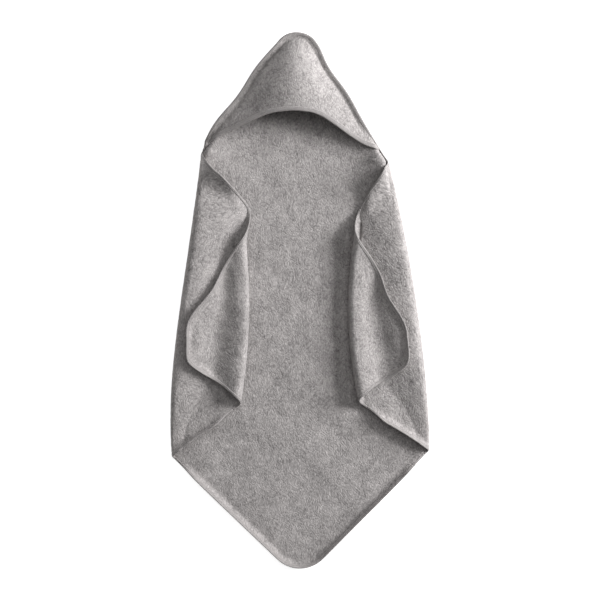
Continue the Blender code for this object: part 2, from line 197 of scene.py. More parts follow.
class Line:
    """A line on the plan, the side that counts as beyond it, and where it starts and ends."""

    def __init__(self, start, end, towards):
        self.start = np.asarray(start, float)
        self.span = float(np.linalg.norm(np.asarray(end, float) - self.start))
        self.along = unit(np.asarray(end, float) - self.start)
        side = np.array((self.along[1], -self.along[0]))
        self.beyond = side if side @ (np.asarray(towards, float) - self.start) > 0 else -side

    def past(self, plan):
        return (plan[:, :2] - self.start) @ self.beyond

    def share(self, plan):
        return (plan[:, :2] - self.start) @ self.along / self.span

    def x_at(self, y, past=0.0):
        """Where the line moved by this much beyond itself crosses each y."""
        return self.start[0] + (past - (y - self.start[1]) * self.beyond[1]) / self.beyond[0]


class Fold(Line):
    """A soft fold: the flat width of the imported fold, bent round its own radius."""

    def __init__(self, name, level, outward, span, radii):
        joint = JOINTS[name]
        place, axis = np.array(joint["pos_m"]), unit(joint["axis"][:2])
        self.flat_radius = place[2] - level
        self.length = math.pi * self.flat_radius
        down = axis if axis[1] < 0 else -axis
        side = np.array((down[1], -down[0]))
        side = side if side[0] * outward > 0 else -side
        start = place[:2] - side * (self.length / 2 - self.flat_radius)
        super().__init__(start, start + down * span, start + side)
        self.radii = radii

    def radius(self, share):
        """The fold's radius at this share of its way, which changes towards its two ends."""
        first, middle, last = self.radii
        grown, shrunk = smooth(share / 0.24), smooth((share - 0.65) / 0.35)
        return first + (middle - first) * grown + (last - middle) * shrunk

    def borrowed(self, share):
        """The cloth that the soft fold takes from each side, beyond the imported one."""
        return math.pi * (self.radius(share) - self.flat_radius) / 2

    def bent(self, travel, share):
        """The fold's profile: the place across it, its turn so far, and the cloth beyond it."""
        radius, extra, flat = self.radius(share), self.borrowed(share), self.flat_radius
        turn = np.clip((travel + extra) / radius, 0, math.pi)
        over = np.clip(travel - self.length - extra, 0, None)
        beside = np.where(turn > 1, travel - self.length, -travel)
        away = flat + beside
        near = radius + (away - flat - extra) * (SQUEEZE - radius) / (SQUEEZE - flat - extra)
        away = np.where(away < SQUEEZE, near, away)
        across = np.where((turn > 0) & (turn < math.pi), radius * (np.sin(turn) - 1), -away)
        return across, turn, over


class Side:
    """The folds of one side, and the slight bows that the folded cloth takes."""

    def __init__(self, name):
        self.name = name
        outward = -1 if name == "left" else 1
        self.outward = outward
        self.wing = Fold(f"wing_fold_{name}", MIDDLE, outward, 1, WING_RADIUS)
        hem = np.array(HEMS[name])
        self.wing.span = float((hem - self.wing.start) @ self.wing.along)
        self.neck = self.wing.start
        level = MIDDLE + 2 * self.wing.flat_radius
        self.tip = Fold(f"tip_fold_{name}", level, -outward, 0.37, TIP_RADIUS)
        flat = [self.laid_flat(self.tip.start), self.laid_flat(self.tip.start + self.tip.along * 0.37)]
        self.tip_flat = Line(flat[0], flat[1], CORNERS[name])

    def laid_flat(self, plan):
        """The place in the flat sheet of a place on the folded wing."""
        wing = self.wing
        past = float(wing.past(plan[None])[0])
        return plan + wing.beyond * (wing.length - 2 * wing.flat_radius - 2 * past)

    def cuts(self, line, fold):
        """Functions of y for where a fold's bend begins and ends on the flat sheet."""

        def at(y, end):
            share = (y - line.start[1]) / (line.along[1] * line.span)
            extra = fold.borrowed(share)
            return line.x_at(y, fold.length - fold.flat_radius + extra if end else -fold.flat_radius - extra)

        return (lambda y: at(y, False)), (lambda y: at(y, True))

    def wing_level(self, inward):
        """Height of the folded wing, which settles away from its roll."""
        top = MIDDLE + 2 * WING_RADIUS[1]
        return WING_REST + (top - WING_REST) * (1 - smooth(inward / WING_FALL))

    def bow(self, plan):
        """How far the side bulges out between the neck and the hem."""
        share = np.clip(self.wing.share(plan), 0, 1)
        reach, late, blunt = WING_BOW[self.name]
        return reach * np.sin(math.pi * share**late) ** blunt

    def tip_bow(self, plan):
        """How far the inner fold swings towards the middle, and away from it at its ends."""
        share = np.clip(self.tip.share(plan), -0.1, 1.1)
        inner, outer = TIP_BOW[self.name]
        return (inner + outer) * 4 * share * (1 - share) - outer


LEFT, RIGHT = Side("left"), Side("right")
NECK = Line(LEFT.neck, RIGHT.neck, CORNERS["apex"])
TAIL_Y = JOINTS["tail_fold"]["pos_m"][1]
SEAMS = (Line(LEFT.neck, CORNERS["apex"], (-1, 0.5)), Line(RIGHT.neck, CORNERS["apex"], (1, 0.5)))


# ---- The outline of the flat sheet ----


def rounded_chain(corners, step):
    """Points and inward normals round a closed outline of (corner, radius), counter-clockwise."""
    points, normals = [], []
    corners = [(np.asarray(place, float), radius) for place, radius in corners]
    count = len(corners)
    arcs = []
    for i, (corner, radius) in enumerate(corners):
        before, after = corners[i - 1][0], corners[(i + 1) % count][0]
        inward, outward = unit(before - corner), unit(after - corner)
        half = math.acos(np.clip(inward @ outward, -1, 1)) / 2
        first = corner + inward * radius / math.tan(half)
        centre = corner + unit(inward + outward) * radius / math.sin(half)
        turn = math.pi - 2 * half
        way = -inward
        left = way[0] * outward[1] - way[1] * outward[0] > 0
        arcs.append((first, centre, turn if left else -turn, radius))
    for i, (first, centre, turn, radius) in enumerate(arcs):
        steps = max(2, math.ceil(abs(turn) * radius / step))
        spoke = first - centre
        for k in range(steps + 1):
            angle = turn * k / steps
            cos, sin = math.cos(angle), math.sin(angle)
            turned = np.array((spoke[0] * cos - spoke[1] * sin, spoke[0] * sin + spoke[1] * cos))
            points.append(centre + turned)
            normals.append(-unit(turned) * (1 if turn > 0 else -1))
        last = points[-1]
        nxt = arcs[(i + 1) % count][0]
        steps = max(1, round(np.linalg.norm(nxt - last) / step))
        for k in range(1, steps):
            points.append(last + (nxt - last) * k / steps)
            normals.append(normals[-1])
    return np.array(points), np.array(normals)


OUTLINE = [
    (LEFT.neck, EASY_ROUND),
    (CORNERS["left"], ROUND),
    (HEMS["left"], EASY_ROUND),
    (CORNERS["foot"], ROUND),
    (HEMS["right"], EASY_ROUND),
    (CORNERS["right"], ROUND),
    (RIGHT.neck, EASY_ROUND),
    (CORNERS["apex"], APEX_ROUND),
]
EDGE, EDGE_INWARD = rounded_chain(OUTLINE, GRID)
CUT_EDGE = EDGE + EDGE_INWARD * TERRY_INSET


def crossings(points):
    """For a closed outline, functions that give its left and right x at each y."""
    low, high = points[:, 1].argmin(), points[:, 1].argmax()
    rolled = np.roll(points, -low, axis=0)
    split = (high - low) % len(points)
    right, left = rolled[: split + 1], np.vstack((rolled[split:], rolled[:1]))[::-1]
    return (
        lambda y: np.interp(y, left[:, 1], left[:, 0]),
        lambda y: np.interp(y, right[:, 1], right[:, 0]),
    )


LEFT_EDGE, RIGHT_EDGE = crossings(CUT_EDGE)


def corner_distance(plan, corner, before, after, radius):
    """Distance inside two edges that meet in a rounded corner."""
    corner, before, after = (np.asarray(p, float) for p in (corner, before, after))
    inward, outward = unit(before - corner), unit(after - corner)
    middle = unit(inward + outward)
    half = math.acos(np.clip(inward @ outward, -1, 1)) / 2
    centre = corner + middle * radius / math.sin(half)
    edges = []
    for way in (inward, outward):
        normal = np.array((way[1], -way[0]))
        normal = normal if normal @ middle > 0 else -normal
        edges.append((plan - corner) @ normal)
    distance = np.minimum(*edges)
    spoke = plan - centre
    reach = np.linalg.norm(spoke, axis=1)
    facing = -(spoke @ middle) > reach * math.sin(half)
    return np.where(facing, radius - reach, distance)


def inward_of_edge(plan):
    """Distance in from the bound edge, below the neck line."""
    left, right, foot = CORNERS["left"], CORNERS["right"], CORNERS["foot"]
    hem_left, hem_right = HEMS["left"], HEMS["right"]
    distances = (
        corner_distance(plan, left, LEFT.neck, hem_left, ROUND),
        corner_distance(plan, foot, hem_left, hem_right, ROUND),
        corner_distance(plan, right, hem_right, RIGHT.neck, ROUND),
    )
    return np.minimum(np.minimum(distances[0], distances[1]), distances[2])


def inward_of_seam(plan):
    """Distance in from the hood's sewn edge."""
    return corner_distance(plan, CORNERS["apex"], LEFT.neck, RIGHT.neck, APEX_ROUND)


# ---- The middle of each sheet ----


def curl(inward, bend=EDGE_BEND):
    """How the tape lifts the edge, over a bend of this width."""
    base = np.clip(TAPE_PLAN + bend - np.maximum(inward, TAPE_PLAN), 0, None)
    return EDGE_SLOPE * (base * base / (2 * bend) + np.clip(TAPE_PLAN - inward, 0, None))


def rim(plan):
    """The middle of the hood's rim, carried level across the hood."""
    up = smooth(NECK.past(plan) / RIM_FADE)
    tilt = RIM_TILT * up * np.clip(0.011 - inward_of_seam(plan), 0, None)
    return RIM_LEVEL + RIM_RISE * up + tilt


def hood_lower(plan):
    fall = smooth((inward_of_seam(plan) - 0.011) / RIM_FALL)
    level = rim(plan) * (1 - fall) + RIM_LEVEL * fall
    creases = 0.0018 * SOFT(plan[:, 0] / 0.045 + 3, plan[:, 1] / 0.030) * smooth(NECK.past(plan) / 0.03)
    return level - LAYER - TERRY / 2 + np.where(fall > 0.5, creases + 0.0008, 0) * fall


CROWN = CORNERS["apex"][1] - APEX_SET_BACK - DOME_START


def hood_upper(plan):
    """The hood's dome: its ridge lies left of the middle, and it is steepest on the left."""
    left = np.clip(-SEAMS[0].past(plan) - DOME_START, 0, None)
    right = np.clip(-SEAMS[1].past(plan) - DOME_START, 0, None)
    share = (left / np.maximum(left + right, 1e-9)) ** (math.log(0.5) / math.log(DOME_RIDGE))
    grown = np.clip((CROWN - plan[:, 1]) / (CROWN - MOUTH_TOP), 0, 1)
    dome = DOME_RISE * 4 * share * (1 - share) * np.sin(grown * DOME_TURN) ** 0.8
    soft = 0.0022 * SOFT(plan[:, 0] / 0.06, plan[:, 1] / 0.05 + 7) * smooth(dome / 0.02)
    return rim(plan) + dome + soft + LAYER + TERRY / 2


def folded(plan, side):
    """The body's sheet on one side of the towel, folded over twice."""
    wing, tip = side.wing, side.tip
    past, share = wing.past(plan), wing.share(plan)
    travel, radius = past + wing.flat_radius, wing.radius(share)
    across, turn, over = wing.bent(travel, share)
    place = plan + wing.beyond * (across - past)[:, None]
    roll_top = MIDDLE + 2 * radius
    settled = roll_top + side.wing_level(over) - side.wing_level(0)
    settled = np.maximum(settled, WING_REST * smooth(over / 0.03))
    height = np.where(over > 0, settled, MIDDLE + radius * (1 - np.cos(turn)))

    beyond, share = tip.past(place), tip.share(place)
    radius = tip.radius(share)
    travel2 = np.where(over > 0, beyond + tip.flat_radius, -1)
    across, turn2, over2 = tip.bent(travel2, share)
    across = np.where(over > 0, across, beyond)
    place = place + tip.beyond * (across - beyond)[:, None]
    rested = side.wing_level(-wing.past(place) - wing.flat_radius) + TIP_REST
    rested = rested + (2 * radius - TIP_REST) * (1 - smooth(over2 / TIP_FALL))
    base = side.wing_level(0.2)
    height = np.where(turn2 > 0, base + radius * (1 - np.cos(turn2)), height)
    height = np.where(over2 > 0, rested, height)

    bend = EDGE_BEND + WIDE_BEND * smooth((plan[:, 1] - 0.09) / 0.12) * (1 - smooth(over2 / 0.10))
    fade = np.where(turn > 0, smooth((turn - 1.3) / 4.0 + over / 0.030), smooth(-travel / 0.045))
    before = -tip.borrowed(share) - travel2
    fade = fade * np.where(turn2 > 0, 0.75 * smooth(over2 / 0.070), smooth(before / 0.045))
    height = height + curl(inward_of_edge(plan), bend) * fade

    inside = -wing.past(place)
    place = place + wing.beyond * (side.bow(place) * (1 - smooth(inside / 0.11)))[:, None]
    swing = side.tip_bow(place) * (1 - smooth(np.abs(tip.past(place)) / 0.075)) * smooth(over / 0.04)
    place = place + tip.beyond * swing[:, None]
    place = pulled(place, WING_PULLS[side.name], smooth(over / 0.03))
    place = pulled(place, TIP_PULLS[side.name], smooth(over2 / 0.04))
    return place, height


def sheet(plan):
    """The middle of the whole lower sheet: the body with its folds, and the hood's lower layer."""
    out = np.zeros((len(plan), 3))
    hood = NECK.past(plan) > 0
    for side in (LEFT, RIGHT):
        mine = ~hood & (plan[:, 0] * side.outward >= 0)
        place, height = folded(plan[mine], side)
        out[mine, :2] = place
        out[mine, 2] = height
    out[hood, :2] = eased(plan[hood])
    out[hood, 2] = hood_lower(plan[hood])
    waves = 0.0010 * SOFT(plan[:, 0] / 0.07, plan[:, 1] / 0.05)
    waves = waves + 0.0006 * PILE(plan[:, 0] / 0.02, plan[:, 1] / 0.02)
    out[:, 2] += np.where(hood, 0, waves + 0.0008) + standing(out[:, :2])
    return out


def eased(plan):
    """The hood's plan, drawn outwards a little along its seams."""
    return pulled(plan, HOOD_PULLS, smooth(NECK.past(plan) / 0.02))


def hood_front(plan):
    place = eased(plan)
    return np.column_stack((place, hood_upper(plan) + standing(place)))


def hood_rim(plan):
    place = eased(plan)
    return np.column_stack((place, rim(plan) + standing(place)))


def standing(place):
    """How far the cloth stands up off the floor just inside the two ends of the neck line."""
    lift = 0
    for side, seam in zip((LEFT, RIGHT), SEAMS):
        inside = np.minimum(-side.wing.past(place), -seam.past(place)) - 0.002
        near = np.exp(-(((place - side.neck) / NECK_REACH) ** 2).sum(1))
        lift = lift + NECK_LIFT[side.name] * near * smooth(inside / 0.008)
    return lift


def thick(surface, plan, offset):
    """Points that stand this far off the middle of a sheet."""
    reach = 0.0006
    east = surface(plan + (reach, 0)) - surface(plan - (reach, 0))
    north = surface(plan + (0, reach)) - surface(plan - (0, reach))
    normal = np.cross(east, north)
    normal /= np.maximum(np.linalg.norm(normal, axis=1), 1e-12)[:, None]
    return surface(plan) + normal * np.asarray(offset)[..., None]


# ---- Materials ----


class Value:
    """A socket's number, so that shader maths reads as an expression."""

    def __init__(self, graph, socket):
        self.graph, self.socket = graph, socket

    def maths(self, operation, *values, clamp=False):
        node = self.graph.node("ShaderNodeMath", {"operation": operation, "use_clamp": clamp}, values)
        return Value(self.graph, node.outputs[0])

    def __add__(self, other):
        return self.maths("ADD", self, other)

    def __sub__(self, other):
        return self.maths("SUBTRACT", self, other)

    def __rsub__(self, other):
        return self.maths("SUBTRACT", other, self)

    def __mul__(self, other):
        return self.maths("MULTIPLY", self, other)

    __radd__ = __add__
    __rmul__ = __mul__


class Graph:
    """A material's nodes."""

    def __init__(self, name):
        self.material = bpy.data.materials.new(name)
        self.material.use_nodes = True
        self.tree = self.material.node_tree
        self.shader = self.tree.nodes["Principled BSDF"]

    def node(self, kind, settings, values):
        node = self.tree.nodes.new(kind)
        for name, value in settings.items():
            setattr(node, name, value)
        named = values.items() if isinstance(values, dict) else enumerate(values)
        for name, value in named:
            self.set(node.inputs[name], value)
        return node

    def set(self, socket, value):
        if isinstance(value, Value):
            self.tree.links.new(value.socket, socket)
        elif isinstance(value, bpy.types.NodeSocket):
            self.tree.links.new(value, socket)
        else:
            socket.default_value = value

    def noise(self, where, scale, detail=2.0, roughness=0.5):
        values = {"Vector": where, "Scale": scale, "Detail": detail, "Roughness": roughness}
        return Value(self, self.node("ShaderNodeTexNoise", {}, values).outputs["Fac"])

    def cells(self, where, scale):
        values = {"Vector": where, "Scale": scale}
        return Value(self, self.node("ShaderNodeTexVoronoi", {}, values).outputs["Distance"])

    def vector(self, operation, *values):
        return self.node("ShaderNodeVectorMath", {"operation": operation}, values).outputs[0]

    def place(self):
        return self.node("ShaderNodeUVMap", {"uv_map": "Flat"}, ()).outputs["UV"]

    def mix(self, share, low, high):
        node = self.node("ShaderNodeMix", {"data_type": "RGBA"}, {0: share})
        self.set(node.inputs[6], low)
        self.set(node.inputs[7], high)
        return node.outputs[2]

    def relief(self, height, strength, distance):
        values = {"Height": height, "Strength": strength, "Distance": distance}
        return self.node("ShaderNodeBump", {}, values).outputs["Normal"]


def grey(value):
    """A warm grey of this lightness."""
    return (value * 1.045, value * 0.986, value * 0.974, 1)


def terry_material():
    """Tufts of loops, longer down the towel than across it, that lean this way and that."""
    graph = Graph("Looped_Terry")
    where = graph.place()
    lean = graph.node("ShaderNodeTexNoise", {}, {"Vector": where, "Scale": 19.0, "Detail": 2.0})
    lean = graph.vector("SUBTRACT", lean.outputs["Color"], (0.5, 0.5, 0.5))
    place = graph.vector("MULTIPLY_ADD", lean, (0.030, 0.030, 0), where)
    stretched = graph.vector("MULTIPLY", place, (1.0, 0.62, 1.0))
    tufts = graph.node("ShaderNodeTexVoronoi", {}, {"Vector": stretched, "Scale": 420.0})
    tuft = Value(graph, tufts.outputs["Distance"])
    tone = Value(graph, graph.node("ShaderNodeSeparateColor", {}, (tufts.outputs["Color"],)).outputs["Red"])
    loops = graph.cells(place, 950)
    clumps = graph.noise(stretched, 300, 3.0, 0.65)
    patches = graph.noise(stretched, 62, 3.0, 0.6)
    broad = graph.noise(where, 14, 2.0, 0.5)
    height = clumps * 1.0 + patches * 0.8 - tuft * 0.8 - loops * 0.25
    # Tone differs at random from tuft to tuft and in broad patches. On top of that, the colour carries
    # painted shade: it is darker in the hollows between tufts and loops, and lighter where clumps and patches
    # raise the pile, following the relief's height.
    shade = (tone - 0.5) * 0.30 + (clumps - 0.5) * 1.0 + (patches - 0.5) * 0.65 + (broad - 0.5) * 0.5
    shade = shade - (tuft - 0.35) * 0.35 - (loops - 0.4) * 0.20
    clamped = shade.maths("ADD", shade, 0.5, clamp=True)
    graph.set(graph.shader.inputs["Base Color"], graph.mix(clamped, grey(0.18), grey(0.56)))
    graph.set(graph.shader.inputs["Normal"], graph.relief(height, 0.60, 0.0013))
    graph.shader.inputs["Roughness"].default_value = 0.95
    graph.shader.inputs["Specular IOR Level"].default_value = 0.15
    graph.shader.inputs["Sheen Weight"].default_value = 0.10
    graph.shader.inputs["Sheen Roughness"].default_value = 0.6
    return graph.material


def tape_material():
    graph = Graph("Woven_Tape")
    where = graph.place()
    ribs = graph.node(
        "ShaderNodeTexWave", {"wave_type": "BANDS", "bands_direction": "X"}, {"Vector": where, "Scale": 420.0}
    )
    ribs = Value(graph, ribs.outputs["Fac"])
    cloud = graph.noise(where, 140, 3.0, 0.6)
    shade = (cloud - 0.5) * 0.9 + (ribs - 0.5) * 0.25 + 0.5
    clamped = shade.maths("ADD", shade, 0.0, clamp=True)
    graph.set(graph.shader.inputs["Base Color"], graph.mix(clamped, grey(0.22), grey(0.40)))
    graph.set(graph.shader.inputs["Normal"], graph.relief(ribs * 0.6 + cloud, 0.5, 0.0006))
    graph.shader.inputs["Roughness"].default_value = 0.8
    graph.shader.inputs["Specular IOR Level"].default_value = 0.25
    return graph.material


def thread_material():
    graph = Graph("Sewing_Thread")
    where = graph.place()
    ply = graph.noise(where, 900, 1.0, 0.5)
    graph.set(graph.shader.inputs["Base Color"], graph.mix(ply, grey(0.34), grey(0.54)))
    graph.set(graph.shader.inputs["Normal"], graph.relief(ply, 0.4, 0.0003))
    graph.shader.inputs["Roughness"].default_value = 0.6
    return graph.material


# ---- Meshes ----


def made(name, points, faces, where, material, creased=0):
    """A closed mesh with its flat place as a UV map, without the faces that have no area.

    Its last faces, as many as creased, meet the others at a sharp edge.
    """
    rounded = np.round(points, 7)
    kept, index = np.unique(rounded, axis=0, return_inverse=True)
    index = index.reshape(-1)
    clean, spots = [], []
    flat_from, sharp = len(faces) - creased, []
    for number, face in enumerate(faces):
        ring, used = [], []
        for corner in face:
            if index[corner] not in used:
                ring.append(corner)
                used.append(index[corner])
        if len(ring) >= 3:
            clean.append(used)
            spots.append(ring)
            sharp.append(number >= flat_from)
    sets = [frozenset(face) for face in clean]
    seen = Counter(sets)
    single = [i for i, key in enumerate(sets) if seen[key] == 1]
    clean, spots, sharp = ([items[i] for i in single] for items in (clean, spots, sharp))
    mesh = bpy.data.meshes.new(name)
    mesh.from_pydata(kept.tolist(), [], [list(map(int, face)) for face in clean])
    layer = mesh.uv_layers.new(name="Flat")
    flat = np.concatenate([where[ring] for ring in spots]).astype(np.float32)
    layer.data.foreach_set("uv", flat.ravel())
    mesh.shade_smooth()
    edge_of = np.empty(len(mesh.loops), int)
    mesh.loops.foreach_get("edge_index", edge_of)
    creases = np.zeros(len(mesh.edges), bool)
    creases[edge_of[np.repeat(sharp, [len(face) for face in clean])]] = True
    mesh.attributes.new("sharp_edge", "BOOLEAN", "EDGE").data.foreach_set("value", creases)
    mesh.update()
    mesh.materials.append(material)
    piece = bpy.data.objects.new(name, mesh)
    bpy.context.scene.collection.objects.link(piece)
    return piece


def roll_width(plan):
    """The flat place with each fold's true width, so that loops keep their size round a fold."""
    out = plan.copy()
    for side in (LEFT, RIGHT):
        mine = (plan[:, 0] * side.outward >= 0) & (NECK.past(plan) <= 0)
        for line, fold in ((side.wing, side.wing), (side.tip_flat, side.tip)):
            travel = np.clip(line.past(plan[mine]) + fold.flat_radius, 0, fold.length)
            extra = travel * (fold.radii[1] / fold.flat_radius - 1)
            out[mine] += line.beyond * extra[:, None]
    return out


def sheet_piece(name, rows, surface, inward, material, along_y=True):
    """A sheet with a face on each side. rows holds, for each row, its places across the sheet."""
    count, width = rows.shape[:2]
    plan = rows.reshape(-1, 2)
    distance = inward(plan)
    half = PRESSED + (MIDDLE - PRESSED) * smooth((distance - TAPE_PLAN + 0.0015) / 0.004)
    pile = 0.00024 * PILE(plan[:, 0] / 0.0062, plan[:, 1] / 0.0062)
    pile *= smooth(np.abs(plan[:, 1] - SPLIT_Y) / 0.008)
    top = thick(surface, plan, half + pile)
    low = thick(surface, plan, -half - pile)
    points = np.vstack((top, low))
    index = np.arange(count * width).reshape(count, width)
    faces = []
    a, b, c, d = index[:-1, :-1], index[:-1, 1:], index[1:, 1:], index[1:, :-1]
    faces.append(np.stack((a, b, c, d), -1).reshape(-1, 4))
    faces.append(np.stack((a, d, c, b), -1).reshape(-1, 4) + count * width)
    ring = np.concatenate((index[0, :-1], index[:-1, -1], index[-1, :0:-1], index[:0:-1, 0]))
    after = np.roll(ring, -1)
    faces.append(np.stack((ring, ring + count * width, after + count * width, after), -1))
    faces = np.vstack(faces)
    if not along_y:
        faces = faces[:, ::-1]
    where = roll_width(plan) if surface is sheet else plan + (3, 0)
    where = np.vstack((where, where + (0.7, 0.3)))
    return made(name, points, faces, where, material, creased=len(ring))


def between(low, high, share):
    """A function of y that runs at this share of the way between two others."""
    return lambda y: low(y) + (high(y) - low(y)) * share


def columns(stops):
    """Functions of y at even steps between each pair of stops, which are functions of y too."""
    found = []
    for (low, count), (high, _) in zip(stops, stops[1:]):
        found += [between(low, high, i / count) for i in range(count)]
    found.append(stops[-1][0])
    return found


def body_rows(ys, stops):
    """Rows of places, kept inside the sheet's own edge."""
    xs = np.stack([np.broadcast_to(column(ys), ys.shape) for column in columns(stops)], 1)
    low, high = LEFT_EDGE(ys)[:, None], RIGHT_EDGE(ys)[:, None]
    xs = np.clip(xs, low, high)
    return np.stack((xs, np.broadcast_to(ys[:, None], xs.shape)), -1)


def middle_rows(ys, low, high):
    """Rows of places at even steps across the middle of the towel, kept between two edges."""
    xs = np.arange(-HALF_WIDTH, HALF_WIDTH, GRID)
    grid = np.clip(np.broadcast_to(xs, (len(ys), len(xs))), low[:, None], high[:, None])
    return np.stack((grid, np.broadcast_to(ys[:, None], grid.shape)), -1)


def spaced(low, high, step=GRID):
    return np.linspace(low, high, max(2, round((high - low) / step)) + 1)


TERRY_LOOK, TAPE_LOOK, THREAD_LOOK = terry_material(), tape_material(), thread_material()


def constant(x):
    return lambda y: np.full_like(y, x)


BOTTOM, TOP = CUT_EDGE[:, 1].min(), CUT_EDGE[:, 1].max()
SPLIT_Y = TAIL_Y + 0.012
INWARD = lambda plan: np.where(NECK.past(plan) > 0, inward_of_seam(plan), inward_of_edge(plan))


def make_body():
    """The terry of the body, one piece to each stretch between two fold lines."""
    left, right = LEFT.wing, RIGHT.wing
    pieces = {}
    ys = np.concatenate((spaced(SPLIT_Y, 0.27), spaced(0.27, TOP)[1:]))
    left_cut = np.maximum(LEFT_EDGE(ys), LEFT.cuts(left, left)[0](ys))
    right_cut = np.minimum(RIGHT_EDGE(ys), RIGHT.cuts(right, right)[0](ys))
    low = np.where(ys > LEFT.neck[1], LEFT_EDGE(ys), left_cut)
    high = np.where(ys > RIGHT.neck[1], RIGHT_EDGE(ys), right_cut)
    rows = middle_rows(ys, low, high)
    pieces["centre"] = sheet_piece("Centre_And_Hood_Back_Terry", rows, sheet, INWARD, TERRY_LOOK)

    ys = np.concatenate((BOTTOM + np.array((0, 0.0003, 0.001, 0.002)), spaced(BOTTOM + 0.0035, SPLIT_Y)))
    rows = middle_rows(ys, LEFT_EDGE(ys), RIGHT_EDGE(ys))
    pieces["tail"] = sheet_piece("Tail_Terry", rows, sheet, INWARD, TERRY_LOOK)

    for side in (LEFT, RIGHT):
        wing, tip, flat = side.wing, side.tip, side.tip_flat
        out = side.outward
        ys = spaced(HEMS[side.name][1] - 0.012, side.neck[1])
        near, roll = side.cuts(wing, wing)
        fold, bent = side.cuts(flat, tip)
        stops = [(near, 18), (roll, 48), (fold, 1)]
        rows = body_rows(ys, stops)
        pieces["wing_" + side.name] = sheet_piece(
            f"Wing_Terry_{side.name}", rows, sheet, INWARD, TERRY_LOOK, along_y=out > 0
        )
        ys = spaced(-0.30, 0.25)
        end = constant(CORNERS[side.name][0])
        stops = [(fold, 26), (bent, 48), (end, 1)]
        rows = body_rows(ys, stops)
        pieces["tip_" + side.name] = sheet_piece(
            f"Tip_Terry_{side.name}", rows, sheet, INWARD, TERRY_LOOK, along_y=out > 0
        )
    return pieces


# ---- The hood's upper layer ----


def mouth_y(x):
    """The mouth's edge over the plan, eased round its corners."""
    spread = np.linspace(-0.016, 0.016, 9)
    places, heights = zip(*MOUTH)
    return np.mean([np.interp(x + d, places, heights) for d in spread], axis=0)


def make_hood_front():
    xs = spaced(LEFT.neck[0] + 0.004, RIGHT.neck[0] - 0.004)
    ys = np.arange(0.285, TOP + GRID, GRID)
    sewn = CUT_EDGE[(CUT_EDGE[:, 1] > 0.29) & (CUT_EDGE[:, 0] < 0.17)]
    seam = np.interp(xs, *zip(*sorted(map(tuple, sewn))))
    low = np.minimum(mouth_y(xs) + 0.002, seam - 0.0005)
    grid = np.clip(np.broadcast_to(ys, (len(xs), len(ys))), low[:, None], seam[:, None])
    rows = np.stack((np.broadcast_to(xs[:, None], grid.shape), grid), -1)
    return sheet_piece("Hood_Front_Terry", rows, hood_front, inward_of_seam, TERRY_LOOK, along_y=False)


# ---- Tape and stitches ----


def tape_section(width, top, wall=0.0007):
    """The tape's cross-section as (distance in from the edge, height off the sheet's middle)."""
    outer = [(width, top * 0.80), (width - 0.0005, top), (width * 0.55, top * 1.02), (0.0012, top * 0.98)]
    outer += [(0.0001, top * 0.72), (-0.0004, top * 0.32)]
    outer += [(d, -h) for d, h in reversed(outer)]
    inner = [(width, -top + wall), (0.0012, -0.0002), (0.0012, 0.0002), (width, top - wall)]
    return np.array(outer + inner)


def inside_seams(plan):
    """Places moved in, where they would stand out past the hood's sewn edges."""
    for seam in SEAMS:
        plan = plan - seam.beyond * np.clip(seam.past(plan) + TAPE_PLAN * 0.6, 0, None)[:, None]
    return plan


def swept(name, points, normals, surface, section, material, slot, keep=lambda plan: plan):
    """A section swept along an edge."""
    count, sides = len(points), len(section)
    travel = np.concatenate(((0,), np.cumsum(np.linalg.norm(np.diff(points, axis=0), axis=1))))
    plan = keep((points[:, None] + normals[:, None] * section[None, :, :1]).reshape(-1, 2))
    pucker = 1 + 0.07 * PUCKER(travel / 0.0055, travel * 0 + 3)[:, None]
    level = (section[None, :, 1] * pucker).reshape(-1)
    places = thick(surface, plan, level)
    index = np.arange(count * sides).reshape(count, sides)
    after = np.roll(index, -1, axis=1)
    faces = np.stack((index[:-1], after[:-1], after[1:], index[1:]), -1).reshape(-1, 4)
    faces = [list(face) for face in faces] + [list(index[0][::-1]), list(index[-1])]
    around = np.cumsum(np.linalg.norm(np.diff(section, axis=0, prepend=section[:1]), axis=1))
    where = np.stack(np.broadcast_arrays(travel[:, None], around[None] + 5), -1).reshape(-1, 2)
    return made(name, places, faces, where, material)


STITCH = 0.0030
STITCH_GAP = 0.0009


def stitched(name, points, normals, surface, inset, top, keep=lambda plan: plan):
    """Short stitches along a tape, on both of its faces."""
    travel = np.concatenate(((0,), np.cumsum(np.linalg.norm(np.diff(points, axis=0), axis=1))))
    starts = np.arange(0.002, travel[-1] - STITCH, STITCH + STITCH_GAP)
    ends = np.array((0.0, 0.18, 0.5, 0.82, 1.0))
    heights = np.array((-0.00035, 0.00010, 0.00022, 0.00010, -0.00035))
    spots = starts[:, None] + ends * STITCH
    plan = np.stack([np.interp(spots, travel, points[:, k] + normals[:, k] * inset) for k in (0, 1)], -1)
    plan = keep(plan.reshape(-1, 2)).reshape(plan.shape)
    inward = np.stack([np.interp(spots, travel, normals[:, k]) for k in (0, 1)], -1)
    sides, radius = 6, 0.00038
    angles = math.tau * np.arange(sides) / sides
    points_out, where, faces = [], [], []
    for face in (1, -1):
        places = plan[:, :, None] + inward[:, :, None] * (radius * np.cos(angles))[None, None, :, None]
        level = face * (top + heights[None, :, None] + radius * (np.sin(angles) + 0.3)[None, None])
        level = np.broadcast_to(level, places.shape[:3])
        base = sum(map(len, points_out))
        points_out.append(thick(surface, places.reshape(-1, 2), level.reshape(-1)))
        along = np.broadcast_to(spots[:, :, None], places.shape[:3])
        around = np.broadcast_to(angles * radius + 7 + face, places.shape[:3])
        where.append(np.stack((along, around), -1).reshape(-1, 2))
        index = base + np.arange(len(starts) * len(ends) * sides).reshape(len(starts), len(ends), sides)
        turned = np.roll(index, -1, axis=2)
        quads = np.stack((index[:, :-1], turned[:, :-1], turned[:, 1:], index[:, 1:]), -1).reshape(-1, 4)
        caps = np.vstack((index[:, 0, ::-1], index[:, -1]))
        if face < 0:
            quads, caps = quads[:, ::-1], caps[:, ::-1]
        faces += quads.tolist() + caps.tolist()
    return made(name, np.vstack(points_out), faces, np.vstack(where), THREAD_LOOK)


